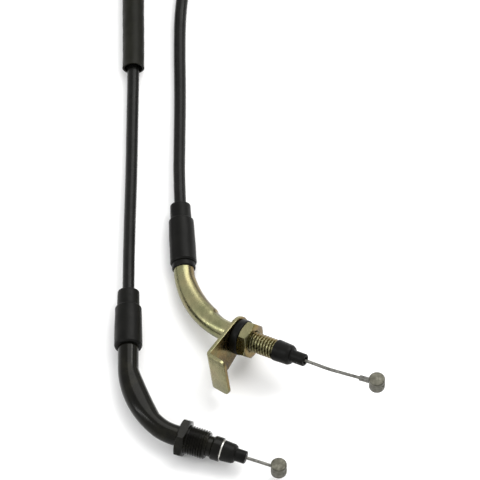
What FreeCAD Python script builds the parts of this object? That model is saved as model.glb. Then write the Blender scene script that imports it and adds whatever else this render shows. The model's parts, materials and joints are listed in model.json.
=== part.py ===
import FreeCAD, Part
import math
import os

from FreeCAD import Placement, Rotation, Vector

# A motorcycle throttle cable, laid out on a table in millimetres, +Z up.
# Each end has a bent tube with a straight fitting in front of it. The axis of the fitting and the
# axis of the casing meet in the bend's corner, and every station along an axis is counted from there:
# positive towards the free end of the fitting, or, on the casing's side, backwards from the corner.

# Driving dimensions of the cable
CASING_R = 2.3  # outer radius of the casing
CONDUIT_R = 1.6
WIRE_R = 0.65  # stranded inner wire
TUBE_R = 4.0  # bent steel tubes
TUBE_BORE_R = 2.1
LINER_BORE_R = 0.95
FERRULE_R = 3.6
FERRULE_LENGTH = 9.0
NIPPLE_R = 3.1
NIPPLE_LENGTH = 6.0

# Handlebar end
BAR_CORNER = Vector(-45.9, -35.15, 7.0)
BAR_TURN = 20.05  # degrees from +X towards -Y
BAR_BENDS = ((36.0, 46.3), (18.0, 23.65))  # radius and angle of each arc, from the casing's side
BAR_BOOT = (31.95, 56.45)  # stations behind the corner where the boot ends and starts
BAR_HEX = (20.8, 24.3)  # stations of the union screw's head
BAR_HEX_FLATS = 14.0
BAR_THREAD_END = 32.6
BAR_THREAD_R = 5.65
BAR_PITCH = 1.0
BAR_COLLAR = (34.4, 38.1)
BAR_COLLAR_R = 4.75
BAR_WASHER_R = 4.5
BAR_WASHER_END = 38.7
BAR_SPIGOT = (2.8, 3.6)  # radius and length of the tube's end inside the cap
BAR_CAP = (4.0, 2.55, 3.7, 1.0)  # body radius, tip radius, depth of the socket, radius of the hole
BAR_BOOT_R = (5.4, 4.25)  # body and neck
BAR_CORE_END = 19.0  # where the wire of the bend stops short of the sliding wire
BAR_CAP_STEP = 43.9
BAR_CAP_END = 48.1
BAR_WIRE_START = 28.3
BAR_NIPPLE = 61.3

# Carburettor end
CARB_CORNER = Vector(-23.536, 11.299, 5.2)
CARB_TURN = 30.15
CARB_RISE = 13.5  # degrees above the table
CARB_RUN_TURN = 2.95  # the casing's side leans this much off the Y axis
CARB_BEND_R = 37.6
CARB_BOOT = (23.3, 49.3)
CARB_PLATE = 23.3  # station of the bracket's front face
PLATE_THICK = 1.5
SPACER_THICK = 3.3
FACE_GAP = 0.05  # between the bracket, the spacer, the lock nut and what they rest against
NUT_THICK = 4.0
NUT_FLATS = 13.0
M8_R = 3.95
M8_PITCH = 1.25
CARB_THREAD_END = 40.9
CARB_CAP_STEP = 48.1
CARB_CAP_END = 54.0
CARB_CAP = (4.1, 2.45, 4.5, 1.45)  # the wire's bent stretch slides through its hole
CARB_BOOT_R = (5.15, 4.0)
CARB_LIP_R = 4.55
CARB_CORE_END = 21.2
FLANGE_R = 4.35
FLANGE_THICK = 0.8
NOSE_R = 3.1  # the adjuster's end inside the cap
NOSE_LENGTH = 4.4
SPACER_R = 6.95
WIRE_SLEEVE_R = 1.15
CARB_WIRE_START = 42.5
CARB_WIRE_BEND = 62.4  # the wire is straight up to here
CARB_WIRE_DROOP = 4.9  # degrees that its free end turns off the axis
CARB_WIRE_BEND_R = 60.0
CARB_SLEEVE = 78.0
CARB_NIPPLE = 85.4

# The bracket: a strap on the thread with a tab bent forward at its end
STRAP_R = 7.6
STRAP_BOTTOM = 10.0
STRAP_REACH = 18.2
STRAP_ROLL = 8.8
TAB_ANGLE = 80.0
TAB_LENGTH = 7.6
TAB_CORNER_R = 2.6
STRAP_FLARE = 9.0  # the strap's lower edge slopes out over this length
WIDE = 40.0  # larger than the bracket, for its cutting tools
BEND_INSIDE_R = 0.8

# Fits
TUBE_FIT = 0.08  # gap around the tube inside the union screw
THREAD_FIT = 0.08  # gap around the adjuster's crests
BOOT_SEAT = 11.0  # the tube's end inside a boot

# The free casing, as the corners of its runs
BAR_ROUTE = [
    Vector(-45.9, 11.0, 7.0),
    Vector(-45.9, 31.0, 7.0),
    Vector(-45.5, 53.0, 5.0),
    Vector(-44.9, 77.0, 3.4),
    Vector(-44.6, 101.0, 3.1),
    Vector(-44.2, 126.0, 3.9),
    Vector(-44.4, 150.0, 3.8),
    Vector(-44.5, 178.0, 3.4),
]
CARB_ROUTE = [
    Vector(-25.61, 51.546, 5.2),
    Vector(-26.614, 71.02, 5.2),
    Vector(-26.4, 91.0, 3.9),
    Vector(-26.2, 112.0, 2.9),
    Vector(-26.5, 132.0, 2.6),
    Vector(-26.2, 150.0, 2.8),
    Vector(-23.6, 168.0, 3.6),
]

# The coil that holds the rest of the casing: two turns side by side and one on top
COIL_CENTRE = Vector(-16.0, 215.0, 0)
COIL_R = 26.0
COIL_GAP = 4.7  # between the centrelines of neighbouring turns
COIL_BASE = 1.0
COIL_LEAVE = -45.0  # degrees, where the last turn leaves the coil
SLEEVE_R = 4.3
SLEEVE_BORE_R = 3.4
SLEEVE_START = Vector(-43.4, 122.0, SLEEVE_R)
SLEEVE_END = Vector(-44.6, 160.0, SLEEVE_R)
TIE_WIDTH = 3.0
TIE_THICK = 0.8
TIE_ANGLES = (20.0, 130.0)

X_AXIS = Vector(1, 0, 0)
MADE = {}


def keep(name, shape):
    """Stores the piece under its node name."""
    MADE[name] = shape


def fitting_frame(corner, turn, rise=0.0):
    """Local X runs along the fitting, local Z points up, and station 0 is the corner."""
    return Placement(corner, Rotation(-turn, -rise, 0))


def casing_frame(corner, turn=0.0):
    """Local X runs from the corner back along the casing."""
    return Placement(corner, Rotation(90 + turn, 0, 0))


def placed(shape, frame):
    copy = shape.copy()
    copy.Placement = frame.multiply(copy.Placement)
    return copy


def rod(radius, start, end):
    return Part.makeCylinder(radius, end - start, Vector(start, 0, 0), X_AXIS)


def ring(outer, inner, start, end):
    return rod(outer, start, end).cut(rod(inner, start - 1, end + 1))


def turned(outline):
    """A solid of revolution about X from (station, radius) points."""
    points = [Vector(outline[0][0], 0, 0)]
    points += [Vector(x, r, 0) for x, r in outline]
    points += [Vector(outline[-1][0], 0, 0), Vector(outline[0][0], 0, 0)]
    face = Part.Face(Part.makePolygon(points))
    return face.revolve(Vector(0, 0, 0), X_AXIS, 360)


def softened(shape, radius, spots):
    """Fillets the round edges that lie at the given (station, radius) spots."""
    chosen = []
    for edge in shape.Edges:
        curve = edge.Curve
        if not isinstance(curve, Part.Circle):
            continue
        for station, r in spots:
            if abs(curve.Center.x - station) < 0.01 and abs(curve.Radius - r) < 0.01:
                chosen.append(edge)
                break
    return shape.makeFillet(radius, chosen)


def thread(radius, pitch, start, end):
    """Ridges with flat crests in place of the helix, chamfered at the free end."""
    depth = 0.6 * pitch
    crest = 0.12 * pitch
    root = 0.1 * pitch
    flank = (pitch - crest - root) / 2
    count = int((end - start - 0.3) / pitch)
    outline = [(start, radius - depth)]
    for i in range(count):
        x = start + root + i * pitch
        outline += [(x, radius - depth), (x + flank, radius)]
        outline += [(x + flank + crest, radius), (x + 2 * flank + crest, radius - depth)]
    outline.append((end, radius - depth))
    return turned(outline)


def hexagon(flats, start, end):
    """A hexagonal prism along X with a flat at the bottom and chamfered corners."""
    corner_r = flats / math.sqrt(3)
    points = []
    for i in range(7):
        a = math.radians(60 * i)
        points.append(Vector(start, corner_r * math.cos(a), corner_r * math.sin(a)))
    prism = Part.Face(Part.makePolygon(points)).extrude(Vector(end - start, 0, 0))
    low = flats / 2 * 0.97
    bevel = (corner_r - low) * 0.5
    blank = turned([(start, low), (start + bevel, corner_r), (end - bevel, corner_r), (end, low)])
    return prism.common(blank)


def arc_edge(start, direction, side, radius, degrees):
    """A tangent arc that turns towards side: (edge, its end, its end direction)."""
    centre = start + side * radius
    half, full = math.radians(degrees / 2), math.radians(degrees)
    middle = centre - side * (radius * math.cos(half)) + direction * (radius * math.sin(half))
    end = centre - side * (radius * math.cos(full)) + direction * (radius * math.sin(full))
    heading = direction * math.cos(full) + side * math.sin(full)
    return Part.Arc(start, middle, end).toShape(), end, heading


def bend_wire(corner, inward, outward, arcs, tail, nose):
    """The centreline of a bent tube, from station tail behind the corner to station nose past it."""
    total = sum(math.radians(a) for r, a in arcs)
    if len(arcs) == 1:
        before = arcs[0][0] * math.tan(total / 2)
    else:
        (r1, a1), (r2, a2) = arcs
        t1 = r1 * math.tan(math.radians(a1) / 2)
        t2 = r2 * math.tan(math.radians(a2) / 2)
        before = t1 + (t1 + t2) * math.sin(math.radians(a2)) / math.sin(total)
    point = corner - inward * before
    edges = []
    if tail > before + 0.01:
        edges.append(Part.makeLine(corner - inward * tail, point))
    heading = inward
    for radius, angle in arcs:
        across = outward - heading * outward.dot(heading)
        across.normalize()
        edge, point, heading = arc_edge(point, heading, across, radius, angle)
        edges.append(edge)
    end = corner + outward * nose
    if (end - point).dot(outward) > 0.01:
        edges.append(Part.makeLine(point, end))
    return Part.Wire(edges)


def along(wire, radius):
    """A round bar that follows a wire."""
    first = wire.Edges[0]
    start = first.valueAt(first.FirstParameter)
    direction = first.tangentAt(first.FirstParameter)
    disc = Part.Face(Part.Wire(Part.makeCircle(radius, start, direction)))
    return wire.makePipe(disc)


def route_wire(points, name):
    """Straight runs joined by tangent arcs, and the smallest arc radius is printed."""
    edges, here, tightest = [], points[0], 1e9
    for before, corner, after in zip(points, points[1:], points[2:]):
        u, v = corner - before, after - corner
        shorter = min(u.Length, v.Length)
        u.normalize()
        v.normalize()
        turn = u.getAngle(v)
        cut = 0.45 * shorter
        radius = cut / math.tan(turn / 2)
        tightest = min(tightest, radius)
        start, end = corner - u * cut, corner + v * cut
        side = v - u * u.dot(v)
        side.normalize()
        edges.append(Part.makeLine(here, start))
        arc, _, _ = arc_edge(start, u, side, radius, math.degrees(turn))
        edges.append(arc)
        here = end
    edges.append(Part.makeLine(here, points[-1]))
    wire = Part.Wire(edges)
    print(f"{name}: {wire.Length:.1f} mm, tightest radius {tightest:.1f} mm")
    return wire


def barrel_nipple(frame, station, wire_r, offset, tilt):
    """A barrel across the wire with a cross hole and a solder well; it stands upright."""
    low = Vector(0, 0, -NIPPLE_LENGTH / 2)
    barrel = Part.makeCylinder(NIPPLE_R, NIPPLE_LENGTH, low, Vector(0, 0, 1))
    rims = [e for e in barrel.Edges if isinstance(e.Curve, Part.Circle)]
    barrel = barrel.makeChamfer(0.35, rims)
    well = Part.makeCone(wire_r, wire_r + 1.0, 1.0, Vector(NIPPLE_R - 1.0, 0, 0), X_AXIS)
    hole = rod(wire_r, -NIPPLE_R - 1, NIPPLE_R + 1)
    middle = frame.multVec(Vector(station, 0, 0) + offset)
    heading = frame.Rotation.multVec(Rotation(Vector(0, 0, 1), tilt).multVec(X_AXIS))
    yaw = math.degrees(math.atan2(heading.y, heading.x))
    pitch = math.degrees(math.asin(heading.z))
    upright = Placement(middle, Rotation(yaw, 0, 0))
    bore_frame = Placement(middle, Rotation(yaw, -pitch, 0))
    solid = placed(barrel, upright)
    for tool in (hole, well):
        solid = solid.cut(placed(tool, bore_frame))
    return solid


def dust_cap(sizes, inside_r, start, step, end):
    """A two-step rubber cap, open at the tube's side, with a hole for the wire in its tip."""
    body_r, tip_r, depth, hole_r = sizes
    outline = [(start, body_r - 0.35), (start + 0.5, body_r), (step, body_r), (step, tip_r), (end, tip_r)]
    cap = turned(outline)
    cap = softened(cap, 0.55, [(step, body_r)])
    cap = softened(cap, 0.5, [(end, tip_r)])
    cap = cap.cut(rod(inside_r, start - 1, start + depth))
    return cap.cut(rod(hole_r, start, end + 1))


def rubber_boot(frame, near, far, radii, step, seat):
    """A two-step rubber boot over the tube's end and the casing."""
    body_r, neck_r = radii
    outline = [(near, TUBE_R + 0.6), (near + 1.6, body_r), (step - 0.8, body_r), (step, body_r - 0.6)]
    outline += [(step, neck_r), (far, neck_r)]
    boot = turned(outline)
    boot = softened(boot, 0.6, [(far, neck_r)])
    boot = boot.cut(rod(TUBE_R, near - 1, seat))
    boot = boot.cut(rod(FERRULE_R, seat - 1, seat + FERRULE_LENGTH))
    boot = boot.cut(rod(CASING_R + 0.05, seat, far + 1))
    boot = boot.cut(rod(CASING_R + 0.9, far - 1.6, far + 1))
    return placed(boot, frame)


def ferrule_and_conduit(side, frame, seat, casing_start):
    """The crimped ferrule on the casing's end and the end of the wound conduit inside it."""
    ferrule = ring(FERRULE_R, CASING_R, casing_start, seat + FERRULE_LENGTH)
    ferrule = ferrule.fuse(ring(FERRULE_R, CONDUIT_R, seat, casing_start)).removeSplitter()
    keep(side + "_ferrule", placed(ferrule, frame))
    conduit = ring(CONDUIT_R, LINER_BORE_R, seat, casing_start)
    keep(side + "_conduit_end", placed(conduit, frame))


def bent_tube(side, corner, inward, outward, arcs, tail, nose, core_end):
    """The bent tube's pieces: steel tube, liner and the wire's stretch in the bend."""
    outer = along(bend_wire(corner, inward, outward, arcs, tail, nose), TUBE_R)
    bore = along(bend_wire(corner, inward, outward, arcs, tail + 1, nose + 1), TUBE_BORE_R)
    hollow = along(bend_wire(corner, inward, outward, arcs, tail + 1, nose + 1), LINER_BORE_R)
    plug = along(bend_wire(corner, inward, outward, arcs, tail, nose), TUBE_BORE_R)
    keep(side + "_elbow_tube", outer.cut(bore))
    keep(side + "_tube_liner", plug.cut(hollow))
    core = along(bend_wire(corner, inward, outward, arcs, tail - 1, core_end), WIRE_R)
    keep(side + "_core_in_bend", core)


def handlebar_end():
    frame = fitting_frame(BAR_CORNER, BAR_TURN)
    casing = casing_frame(BAR_CORNER)
    outward = frame.Rotation.multVec(X_AXIS)
    near, far = BAR_BOOT
    seat = near + BOOT_SEAT
    arcs = list(BAR_BENDS)
    bent_tube("handlebar", BAR_CORNER, Vector(0, -1, 0), outward, arcs, seat, BAR_WASHER_END, BAR_CORE_END)

    spigot_r, spigot_length = BAR_SPIGOT
    spigot = ring(spigot_r, TUBE_BORE_R, BAR_WASHER_END, BAR_WASHER_END + spigot_length)
    tube = MADE["handlebar_elbow_tube"].fuse(placed(spigot, frame)).removeSplitter()
    keep("handlebar_elbow_tube", tube)
    liner_end = ring(TUBE_BORE_R, LINER_BORE_R, BAR_WASHER_END, BAR_WASHER_END + spigot_length)
    liner = MADE["handlebar_tube_liner"].fuse(placed(liner_end, frame)).removeSplitter()
    keep("handlebar_tube_liner", liner)

    head = hexagon(BAR_HEX_FLATS, *BAR_HEX)
    screw = head.fuse(thread(BAR_THREAD_R, BAR_PITCH, BAR_HEX[1], BAR_THREAD_END))
    screw = screw.cut(rod(TUBE_R + TUBE_FIT, BAR_HEX[0] - 1, BAR_THREAD_END + 1)).removeSplitter()
    keep("handlebar_union_screw", placed(screw, frame))

    start, end = BAR_COLLAR
    collar = turned([(start, BAR_COLLAR_R - 0.5), (start + 0.6, BAR_COLLAR_R), (end, BAR_COLLAR_R)])
    keep("handlebar_collar", placed(collar.cut(rod(TUBE_R, start - 1, end + 1)), frame))
    washer = ring(BAR_WASHER_R, TUBE_R, end, BAR_WASHER_END)
    keep("handlebar_seat_washer", placed(washer, frame))
    cap = dust_cap(BAR_CAP, spigot_r, BAR_WASHER_END, BAR_CAP_STEP, BAR_CAP_END)
    keep("handlebar_dust_cap", placed(cap, frame))

    wire = rod(WIRE_R, BAR_WIRE_START, BAR_NIPPLE + NIPPLE_R - 1.0)
    keep("handlebar_inner_wire", placed(wire, frame))
    keep("handlebar_nipple", barrel_nipple(frame, BAR_NIPPLE, WIRE_R, Vector(0, 0, 0), 0))

    keep("handlebar_boot", rubber_boot(casing, near, far, BAR_BOOT_R, far - 7.0, seat))
    ferrule_and_conduit("handlebar", casing, seat, BAR_ROUTE[0].y - BAR_CORNER.y)


def stop_bracket(frame):
    """A flat strap with a round end and the thread's hole, its far end bent forward into a tab."""
    half = PLATE_THICK / 2
    bend_r = BEND_INSIDE_R + half
    turn = math.radians(TAB_ANGLE)
    reach = STRAP_REACH + half
    flat_end = reach - bend_r * math.tan(turn / 2)
    start = Vector(-half, STRAP_R + 1, 0)
    bend_start = Vector(-half, -flat_end, 0)
    arc, tab_start, heading = arc_edge(bend_start, Vector(0, -1, 0), X_AXIS, bend_r, TAB_ANGLE)
    tab_end = tab_start + heading * TAB_LENGTH
    path = Part.Wire([Part.makeLine(start, bend_start), arc, Part.makeLine(tab_start, tab_end)])
    section = Part.makePolygon(
        [
            Vector(-PLATE_THICK, STRAP_R + 1, -STRAP_BOTTOM),
            Vector(0, STRAP_R + 1, -STRAP_BOTTOM),
            Vector(0, STRAP_R + 1, STRAP_R),
            Vector(-PLATE_THICK, STRAP_R + 1, STRAP_R),
            Vector(-PLATE_THICK, STRAP_R + 1, -STRAP_BOTTOM),
        ]
    )
    sheet = path.makePipe(Part.Face(section))
    upright = [e for e in sheet.Edges if is_tab_corner(e, tab_end, heading)]
    sheet = sheet.makeFillet(TAB_CORNER_R, upright)

    profile = Part.makePolygon(
        [
            Vector(-WIDE, 0, -STRAP_R),
            Vector(-WIDE, -STRAP_FLARE, -STRAP_BOTTOM),
            Vector(-WIDE, -WIDE, -STRAP_BOTTOM),
            Vector(-WIDE, -WIDE, STRAP_R),
            Vector(-WIDE, 0, STRAP_R),
            Vector(-WIDE, 0, -STRAP_R),
        ]
    )
    outline = Part.Face(profile).extrude(Vector(2 * WIDE, 0, 0)).fuse(rod(STRAP_R, -WIDE, WIDE))
    sheet = sheet.common(outline).cut(rod(M8_R + 0.1, -WIDE, WIDE)).removeSplitter()
    sheet.rotate(Vector(0, 0, 0), X_AXIS, -STRAP_ROLL)
    sheet.translate(Vector(CARB_PLATE, 0, 0))
    return placed(sheet, frame)


def is_tab_corner(edge, tab_end, heading):
    """True for the short edges through the sheet at the tab's free end."""
    if abs(edge.Length - PLATE_THICK) > 0.01:
        return False
    return abs((edge.CenterOfMass - tab_end).dot(heading)) < 0.01


def carburettor_wire(frame):
    """The wire, its end sleeve and its nipple. The free end turns gently off the axis."""
    bend = math.radians(CARB_WIRE_DROOP)
    straight = Vector(CARB_WIRE_BEND, 0, 0)
    side = Vector(0, 1, 0)
    arc, arc_end, heading = arc_edge(straight, X_AXIS, side, CARB_WIRE_BEND_R, CARB_WIRE_DROOP)
    reach = (CARB_NIPPLE - arc_end.x) / math.cos(bend)
    middle = arc_end + heading * reach
    wire_end = middle + heading * (NIPPLE_R - 1.0)
    first = Part.makeLine(Vector(CARB_WIRE_START, 0, 0), straight)
    path = Part.Wire([first, arc, Part.makeLine(arc_end, wire_end)])
    keep("carburettor_inner_wire", placed(along(path, WIRE_R), frame))
    start = arc_end + heading * ((CARB_SLEEVE - arc_end.x) / math.cos(bend))
    length = (middle - start).Length - NIPPLE_R + 0.1
    sleeve = Part.makeCylinder(WIRE_SLEEVE_R, length + 1, start, heading)
    sleeve = sleeve.cut(Part.makeCylinder(WIRE_R, length + 3, start - heading, heading))
    nipple = barrel_nipple(frame, CARB_NIPPLE, WIRE_R, Vector(0, middle.y, 0), CARB_WIRE_DROOP)
    keep("carburettor_nipple", nipple)
    keep("carburettor_wire_sleeve", placed(sleeve, frame).cut(nipple).Solids[0])


def carburettor_end():
    frame = fitting_frame(CARB_CORNER, CARB_TURN, CARB_RISE)
    casing = casing_frame(CARB_CORNER, CARB_RUN_TURN)
    outward = frame.Rotation.multVec(X_AXIS)
    inward = casing.Rotation.multVec(X_AXIS) * -1
    near, far = CARB_BOOT
    seat = near + BOOT_SEAT
    angle = math.degrees(inward.getAngle(outward))
    back = CARB_PLATE - PLATE_THICK
    rim = back - FACE_GAP
    joint = rim - FLANGE_THICK
    arcs = [(CARB_BEND_R, angle)]
    bent_tube("carburettor", CARB_CORNER, inward, outward, arcs, seat, joint, CARB_CORE_END)

    shank = thread(M8_R, M8_PITCH, CARB_PLATE + 1.0, CARB_THREAD_END)
    shank = shank.fuse(rod(M8_R, rim, CARB_PLATE + 1.0)).fuse(rod(FLANGE_R, joint, rim))
    shank = shank.fuse(rod(NOSE_R, CARB_THREAD_END - 0.5, CARB_THREAD_END + NOSE_LENGTH))
    shank = shank.cut(rod(LINER_BORE_R + 0.05, joint - 1, CARB_CAP_END)).removeSplitter()
    keep("adjuster_screw", placed(shank, frame))
    keep("stop_bracket", stop_bracket(frame))

    near_face = CARB_PLATE + FACE_GAP
    far_face = near_face + SPACER_THICK
    rims = [(near_face, SPACER_R), (far_face, SPACER_R)]
    spacer = softened(rod(SPACER_R, near_face, far_face), 0.5, rims)
    keep("rubber_spacer", placed(spacer.cut(rod(M8_R + THREAD_FIT, 0, CARB_CAP_END)), frame))
    front = far_face + FACE_GAP
    nut = hexagon(NUT_FLATS, front, front + NUT_THICK).cut(rod(M8_R + THREAD_FIT, 0, CARB_CAP_END))
    mouth_start = Vector(front + NUT_THICK - 0.7, 0, 0)
    mouth = Part.makeCone(M8_R + THREAD_FIT, M8_R + 0.7, 0.7, mouth_start, X_AXIS)
    keep("adjuster_lock_nut", placed(nut.cut(mouth), frame))

    cap = dust_cap(CARB_CAP, NOSE_R, CARB_THREAD_END, CARB_CAP_STEP, CARB_CAP_END)
    keep("carburettor_dust_cap", placed(cap, frame))
    carburettor_wire(frame)

    lip = turned([(near - 2.4, TUBE_R + 0.3), (near - 1.9, CARB_LIP_R), (near - 0.1, CARB_LIP_R)])
    keep("carburettor_boot_lip", placed(lip.cut(rod(TUBE_R, 0, near)), casing))
    keep("carburettor_boot", rubber_boot(casing, near, far, CARB_BOOT_R, far - 6.6, seat))
    ferrule_and_conduit("carburettor", casing, seat, (CARB_ROUTE[0] - CARB_CORNER).Length)


def cable_coil():
    """The outer shape of the coil's bundle of turns, one closed ring."""
    wide = COIL_GAP / 2 + CASING_R
    top = COIL_BASE + 2 * CASING_R + COIL_GAP * math.sqrt(3) / 2
    side = COIL_BASE + 2 * CASING_R
    bundle = [(-wide, COIL_BASE + 1.2), (-wide + 1.2, COIL_BASE), (wide - 1.2, COIL_BASE)]
    bundle += [(wide, COIL_BASE + 1.2), (wide, side - 1.0), (CASING_R - 0.6, top), (0.6 - CASING_R, top)]
    bundle += [(-wide, side - 1.0), (-wide, COIL_BASE + 1.2)]
    points = [COIL_CENTRE + Vector(COIL_R + x, 0, z) for x, z in bundle]
    return Part.Face(Part.makePolygon(points)).revolve(COIL_CENTRE, Vector(0, 0, 1), 360)


def coil_ties():
    """Flat bands around the bundle."""
    wide = COIL_GAP / 2 + CASING_R + 0.1
    top = COIL_BASE + 2 * CASING_R + COIL_GAP * math.sqrt(3) / 2 + 0.1
    inner = Part.makeBox(2 * wide, TIE_WIDTH, top - COIL_BASE + 0.1)
    inner.translate(Vector(COIL_R - wide, -TIE_WIDTH / 2, COIL_BASE - 0.1))
    outer = Part.makeBox(2 * (wide + TIE_THICK), TIE_WIDTH, top - COIL_BASE + 0.1 + 2 * TIE_THICK)
    outer.translate(Vector(COIL_R - wide - TIE_THICK, -TIE_WIDTH / 2, COIL_BASE - 0.1 - TIE_THICK))
    upright = [e for e in outer.Edges if abs(e.tangentAt(e.FirstParameter).y) > 0.9]
    band = outer.makeFillet(1.2, upright).cut(inner)
    ties = []
    for angle in TIE_ANGLES:
        ties.append(placed(band, Placement(COIL_CENTRE, Rotation(angle, 0, 0))))
    return Part.makeCompound(ties)


def cable():
    coil = cable_coil()
    keep("cable_coil", coil)
    keep("cable_ties", coil_ties())

    bar_end = COIL_CENTRE + Vector(-COIL_R - COIL_GAP / 2, -6.0, COIL_BASE + CASING_R)
    bar_wire = route_wire(BAR_ROUTE + [bar_end], "handlebar_run")
    bar_run = along(bar_wire, CASING_R).cut(coil).Solids[0]
    keep("handlebar_run", bar_run)

    leave = math.radians(COIL_LEAVE)
    out = Vector(math.cos(leave), math.sin(leave), 0)
    away = Vector(out.y, -out.x, 0)
    high = COIL_BASE + CASING_R + COIL_GAP * math.sqrt(3) / 2
    tangent = COIL_CENTRE + out * COIL_R + Vector(0, 0, high)
    over = tangent + away * 14.0 + Vector(0, 0, 0.4)
    carb_wire = route_wire(CARB_ROUTE + [over, tangent], "carburettor_run")
    carb_run = along(carb_wire, CASING_R).cut(coil).Solids[0]
    keep("carburettor_run", carb_run)

    heading = SLEEVE_END - SLEEVE_START
    sleeve = Part.makeCylinder(SLEEVE_R, heading.Length, SLEEVE_START, heading)
    bore = Part.makeCylinder(SLEEVE_BORE_R, heading.Length * 1.1, SLEEVE_START - heading * 0.05, heading)
    keep("protective_sleeve", sleeve.cut(bore))


os.makedirs("parts", exist_ok=True)
handlebar_end()
carburettor_end()
cable()
for name, shape in MADE.items():
    shape.exportStep(f"parts/{name}.step")
print(len(MADE), "pieces")
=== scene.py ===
import json
import math

import bmesh
import bpy
from mathutils import Matrix, Vector


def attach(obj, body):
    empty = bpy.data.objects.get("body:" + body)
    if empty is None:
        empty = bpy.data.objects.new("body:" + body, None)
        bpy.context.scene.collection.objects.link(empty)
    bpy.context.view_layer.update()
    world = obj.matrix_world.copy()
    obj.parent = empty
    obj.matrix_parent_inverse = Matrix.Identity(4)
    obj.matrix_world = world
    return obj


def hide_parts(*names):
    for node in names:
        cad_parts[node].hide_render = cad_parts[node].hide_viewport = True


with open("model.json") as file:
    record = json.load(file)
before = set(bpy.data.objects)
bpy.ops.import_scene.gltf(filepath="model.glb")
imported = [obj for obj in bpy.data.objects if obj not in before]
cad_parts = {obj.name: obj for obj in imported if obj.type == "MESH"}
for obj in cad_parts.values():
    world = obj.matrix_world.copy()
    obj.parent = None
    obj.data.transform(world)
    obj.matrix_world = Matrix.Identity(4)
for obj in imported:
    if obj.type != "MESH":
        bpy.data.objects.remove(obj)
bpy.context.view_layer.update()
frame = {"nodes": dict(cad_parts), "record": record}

MM = 0.001
NODES = frame["nodes"]

# ---------------------------------------------------------------- the cable's own sizes, in millimetres
CASING_R = 2.3
WIRE_R = 0.65
TUBE_R = 4.0
TUBE_BORE_R = 2.1
TUBE_FIT = 0.08  # gap inside the union screw
LINER_R = 0.95
SEAT = 11.0  # depth of a tube's end inside its boot

BAR_CORNER = Vector((-45.9, -35.15, 7.0))
BAR_TURN = 20.05
BAR_BENDS = ((36.0, 46.3), (18.0, 23.65))
BAR_BOOT = (31.95, 56.45)
BAR_HEX = (20.8, 24.3)
BAR_HEX_FLATS = 14.0
BAR_THREAD_END = 32.6
BAR_THREAD_R = 5.65
BAR_PITCH = 1.0
BAR_COLLAR = (34.4, 38.1)
BAR_COLLAR_R = 4.73
BAR_WASHER_R = 4.14
BAR_WASHER_END = 38.7
BAR_CAP_STEP = 43.9
BAR_CAP_END = 48.1
BAR_CAP = (4.0, 2.55, 2.82, 1.0)  # radius of the body, tip, socket and hole
BAR_CAP_LAP = 0.4  # the cap's mouth covers this much of the washer
BAR_SPIGOT = (2.8, 3.6)  # radius and length
BAR_BOOT_R = (5.45, 4.25)  # body and neck
BAR_WIRE_START = 28.3
BAR_NIPPLE = 61.3

CARB_CORNER = Vector((-23.536, 11.299, 5.2))
CARB_TURN = 30.15
CARB_RISE = 13.5
CARB_RUN_TURN = 2.95
CARB_BEND_R = 37.6
CARB_BOOT = (23.3, 49.3)
CARB_PLATE = 23.3
PLATE_THICK = 1.5
CARB_SPACER_END = 26.7
CARB_NUT_END = 30.7
NUT_FLATS = 13.0
SPACER_R = 6.95
M8_R = 3.95
M8_PITCH = 1.25
FLANGE_R = 4.35
FLANGE_THICK = 0.8
NOSE = (3.1, 4.3)  # the adjuster's end inside the cap: radius and length
CARB_THREAD_END = 40.9
CARB_CAP_STEP = 48.1
CARB_CAP_END = 54.0
CARB_CAP = (4.1, 2.45, 3.12, 1.45)
CARB_BOOT_R = (5.15, 4.0)
CARB_LIP_R = 4.55
CARB_WIRE_START = 42.5
CARB_WIRE_BEND = 62.4
CARB_WIRE_DROOP = 4.9
CARB_WIRE_BEND_R = 60.0
CARB_SLEEVE = 78.0
CARB_NIPPLE = 85.4
NIPPLE_R = 3.1
CRIMP_R = 1.15

# The route of the casing, the same points as in the CAD part
BAR_ROUTE = [
    (-45.9, 11.0, 7.0),
    (-45.9, 31.0, 7.0),
    (-45.5, 53.0, 5.0),
    (-44.9, 77.0, 3.4),
    (-44.6, 101.0, 3.1),
    (-44.2, 126.0, 3.9),
    (-44.4, 150.0, 3.8),
    (-44.5, 178.0, 3.4),
    (-44.35, 209.0, 3.3),
]
CARB_ROUTE = [
    (-25.61, 51.546, 5.2),
    (-26.614, 71.02, 5.2),
    (-26.4, 91.0, 3.9),
    (-26.2, 112.0, 2.9),
    (-26.5, 132.0, 2.6),
    (-26.2, 150.0, 2.8),
    (-23.6, 168.0, 3.6),
]
COIL_CENTRE = Vector((-16.0, 215.0, 0.0))
COIL_LANES = (28.35, 23.65, 26.0)  # radius of the outer, the inner and the top turn
COIL_LOW = 3.3
COIL_TOP = 7.5
COIL_OVER = 8.0  # height where the top turn passes over the turn below
COIL_DEGREES = 945.0
COIL_STEP = 22.5
SLEEVE_SPAN = (122.0, 160.0)
SLEEVE_R = 4.2
SLEEVE_BORE_R = 3.5
SLEEVE_HEIGHT = 4.3  # of its axis above the table
COIL_R = 26.0
TIE_ANGLES = (20.0, 130.0)


# ---------------------------------------------------------------- local frames
def fitting_frame(corner, turn, rise=0.0):
    """Local X runs out along a fitting from the bend's corner, local Z points up."""
    t, r = math.radians(turn), math.radians(rise)
    x = Vector((math.cos(t) * math.cos(r), -math.sin(t) * math.cos(r), math.sin(r)))
    y = Vector((math.sin(t), math.cos(t), 0))
    return frame_matrix(corner, x, y)


def casing_frame(corner, turn=0.0):
    """Local X runs from the corner back along the casing."""
    t = math.radians(turn)
    x = Vector((-math.sin(t), math.cos(t), 0))
    y = Vector((-math.cos(t), -math.sin(t), 0))
    return frame_matrix(corner, x, y)


def frame_matrix(corner, x, y):
    m = Matrix.Identity(4)
    m.col[0][:3], m.col[1][:3], m.col[2][:3] = x, y, x.cross(y)
    m.col[3][:3] = corner
    return m


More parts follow.
